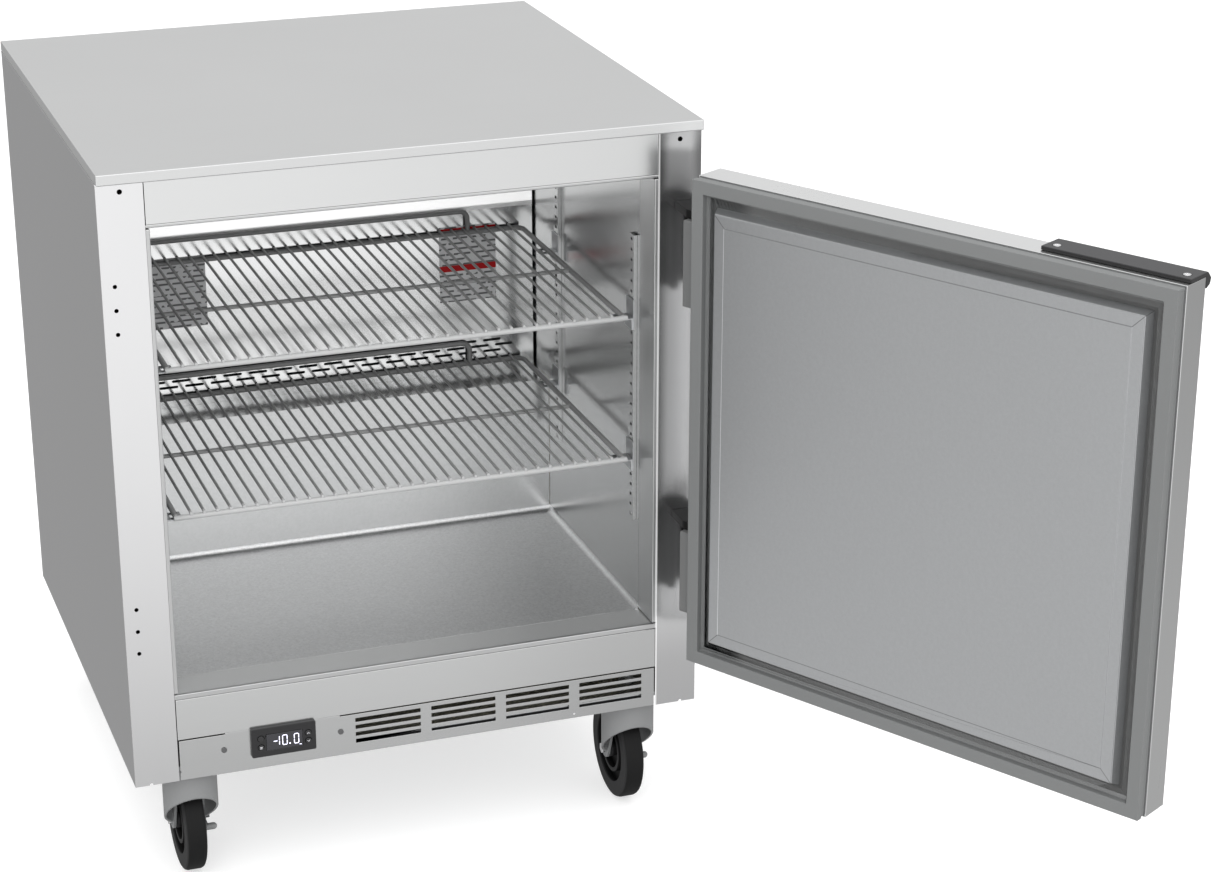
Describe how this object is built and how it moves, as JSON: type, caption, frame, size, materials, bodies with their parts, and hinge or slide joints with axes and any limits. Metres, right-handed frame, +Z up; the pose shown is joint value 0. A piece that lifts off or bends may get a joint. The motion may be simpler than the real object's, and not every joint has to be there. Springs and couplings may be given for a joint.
{
  "type": "undercounter refrigerator",
  "caption": "Low stainless cabinet refrigerator on casters with one side-hinged insulated door, wire shelves, a front louvre grille and a digital controller.",
  "frame": {"origin": "on the floor, below the middle of the front frame, whose face is y = 0", "axes": "+Z up, +X to the right seen from the front, the front faces -Y, and the door stands open at rest"},
  "size_m": [1.0078, 1.2534, 0.877],
  "materials": {
    "stainless": "satin",
    "liner_steel": "satin",
    "zinc_plate": "satin",
    "coated_wire": "satin",
    "breaker_plastic": "satin",
    "black_plastic": "satin",
    "display_window": "gloss",
    "button_plastic": "satin",
    "foam": "matte",
    "label_sheet": "satin",
    "coil_aluminium": "satin",
    "motor_metal": "satin",
    "fan_plastic": "satin",
    "compressor_black": "satin",
    "hinge_metal": "satin",
    "screw_steel": "polished",
    "dark_screw": "satin",
    "gasket_rubber": "matte",
    "handle_plastic": "satin",
    "fork_metal": "satin",
    "wheel_rubber": "satin"
  },
  "bodies": {
    "cabinet": {"worktop": "stainless", "side_panel_left": "stainless", "side_panel_right": "stainless", "back_panel": "zinc_plate", "base_pan": "zinc_plate", "top_rail": "stainless", "lower_rail": "stainless", "breaker_strips": "breaker_plastic", "grille_panel": "stainless", "panel_screws": "dark_screw", "controller_body": "black_plastic", "controller_window": "display_window", "liner_shell": "liner_steel", "liner_floor": "liner_steel", "liner_back": "liner_steel", "cabinet_insulation": "foam", "air_duct_panel": "liner_steel", "label_plates": "label_sheet", "evaporator_coil": "coil_aluminium", "evaporator_fan_motor": "motor_metal", "pilasters": "stainless", "shelf_clips": "zinc_plate", "compressor": "compressor_black", "condenser_coil": "coil_aluminium", "condenser_fan_motor": "motor_metal", "rear_grille": "zinc_plate", "hinge_plates": "hinge_metal", "hinge_pins": "screw_steel", "caster_plates": "zinc_plate"},
    "door": {"door_skin": "stainless", "door_foam": "foam", "door_liner": "liner_steel", "door_gasket": "gasket_rubber", "door_hinge_arms": "hinge_metal", "door_handle": "handle_plastic", "handle_screws": "screw_steel"},
    "shelf_upper_body": {"shelf_upper": "coated_wire"},
    "shelf_lower_body": {"shelf_lower": "coated_wire"},
    "button_set_body": {"button_set": "button_plastic"},
    "button_light_body": {"button_light": "button_plastic"},
    "button_up_body": {"button_up": "button_plastic"},
    "button_down_body": {"button_down": "button_plastic"},
    "evaporator_fan_body": {"evaporator_fan": "fan_plastic"},
    "condenser_fan_body": {"condenser_fan": "fan_plastic"},
    "caster_front_left": {"fork_front_left": "fork_metal", "axle_front_left": "screw_steel"},
    "wheel_body_front_left": {"wheel_front_left": "wheel_rubber"},
    "caster_front_right": {"fork_front_right": "fork_metal", "axle_front_right": "screw_steel"},
    "wheel_body_front_right": {"wheel_front_right": "wheel_rubber"},
    "caster_rear_left": {"fork_rear_left": "fork_metal", "axle_rear_left": "screw_steel"},
    "wheel_body_rear_left": {"wheel_rear_left": "wheel_rubber"},
    "caster_rear_right": {"fork_rear_right": "fork_metal", "axle_rear_right": "screw_steel"},
    "wheel_body_rear_right": {"wheel_rear_right": "wheel_rubber"},
    "brake_body_left": {"brake_left": "fork_metal"},
    "brake_body_right": {"brake_right": "fork_metal"}
  },
  "joints": [
    {"name": "door_swing", "type": "hinge", "parent": "cabinet", "child": "door", "pos_m": [0.3243, -0.0345, 0.535], "axis": [0, 0, 1], "range_deg": [-120, 0]},
    {"name": "shelf_upper_slide", "type": "slide", "parent": "cabinet", "child": "shelf_upper_body", "axis": [0, -1, 0], "range_m": [0, 0.33]},
    {"name": "shelf_lower_slide", "type": "slide", "parent": "cabinet", "child": "shelf_lower_body", "axis": [0, -1, 0], "range_m": [0, 0.33]},
    {"name": "button_set_press", "type": "slide", "parent": "cabinet", "child": "button_set_body", "axis": [0, 1, 0], "range_m": [0, 0.001], "stiffness_N_per_m": 800},
    {"name": "button_light_press", "type": "slide", "parent": "cabinet", "child": "button_light_body", "axis": [0, 1, 0], "range_m": [0, 0.001], "stiffness_N_per_m": 800},
    {"name": "button_up_press", "type": "slide", "parent": "cabinet", "child": "button_up_body", "axis": [0, 1, 0], "range_m": [0, 0.001], "stiffness_N_per_m": 800},
    {"name": "button_down_press", "type": "slide", "parent": "cabinet", "child": "button_down_body", "axis": [0, 1, 0], "range_m": [0, 0.001], "stiffness_N_per_m": 800},
    {"name": "evaporator_fan_spin", "type": "hinge", "parent": "cabinet", "child": "evaporator_fan_body", "pos_m": [0, 0.516, 0.7], "axis": [0, 1, 0], "continuous": true},
    {"name": "condenser_fan_spin", "type": "hinge", "parent": "cabinet", "child": "condenser_fan_body", "pos_m": [-0.175, 0.506, 0.274], "axis": [0, 1, 0], "continuous": true},
    {"name": "swivel_front_left", "type": "hinge", "parent": "cabinet", "child": "caster_front_left", "pos_m": [-0.272, 0.044, 0.15], "axis": [0, 0, 1], "continuous": true},
    {"name": "roll_front_left", "type": "hinge", "parent": "caster_front_left", "child": "wheel_body_front_left", "pos_m": [-0.272, 0.0773, 0.0635], "axis": [1, 0, 0], "continuous": true},
    {"name": "swivel_front_right", "type": "hinge", "parent": "cabinet", "child": "caster_front_right", "pos_m": [0.272, 0.044, 0.15], "axis": [0, 0, 1], "continuous": true},
    {"name": "roll_front_right", "type": "hinge", "parent": "caster_front_right", "child": "wheel_body_front_right", "pos_m": [0.272, 0.0773, 0.0635], "axis": [1, 0, 0], "continuous": true},
    {"name": "swivel_rear_left", "type": "hinge", "parent": "cabinet", "child": "caster_rear_left", "pos_m": [-0.272, 0.56, 0.15], "axis": [0, 0, 1], "continuous": true},
    {"name": "roll_rear_left", "type": "hinge", "parent": "caster_rear_left", "child": "wheel_body_rear_left", "pos_m": [-0.272, 0.5933, 0.0635], "axis": [1, 0, 0], "continuous": true},
    {"name": "swivel_rear_right", "type": "hinge", "parent": "cabinet", "child": "caster_rear_right", "pos_m": [0.272, 0.56, 0.15], "axis": [0, 0, 1], "continuous": true},
    {"name": "roll_rear_right", "type": "hinge", "parent": "caster_rear_right", "child": "wheel_body_rear_right", "pos_m": [0.272, 0.5933, 0.0635], "axis": [1, 0, 0], "continuous": true},
    {"name": "brake_left_press", "type": "hinge", "parent": "caster_front_left", "child": "brake_body_left", "pos_m": [-0.272, 0.0773, 0.0635], "axis": [1, 0, 0], "range_deg": [0, 15]},
    {"name": "brake_right_press", "type": "hinge", "parent": "caster_front_right", "child": "brake_body_right", "pos_m": [0.272, 0.0773, 0.0635], "axis": [1, 0, 0], "range_deg": [0, 15]}
  ]
}
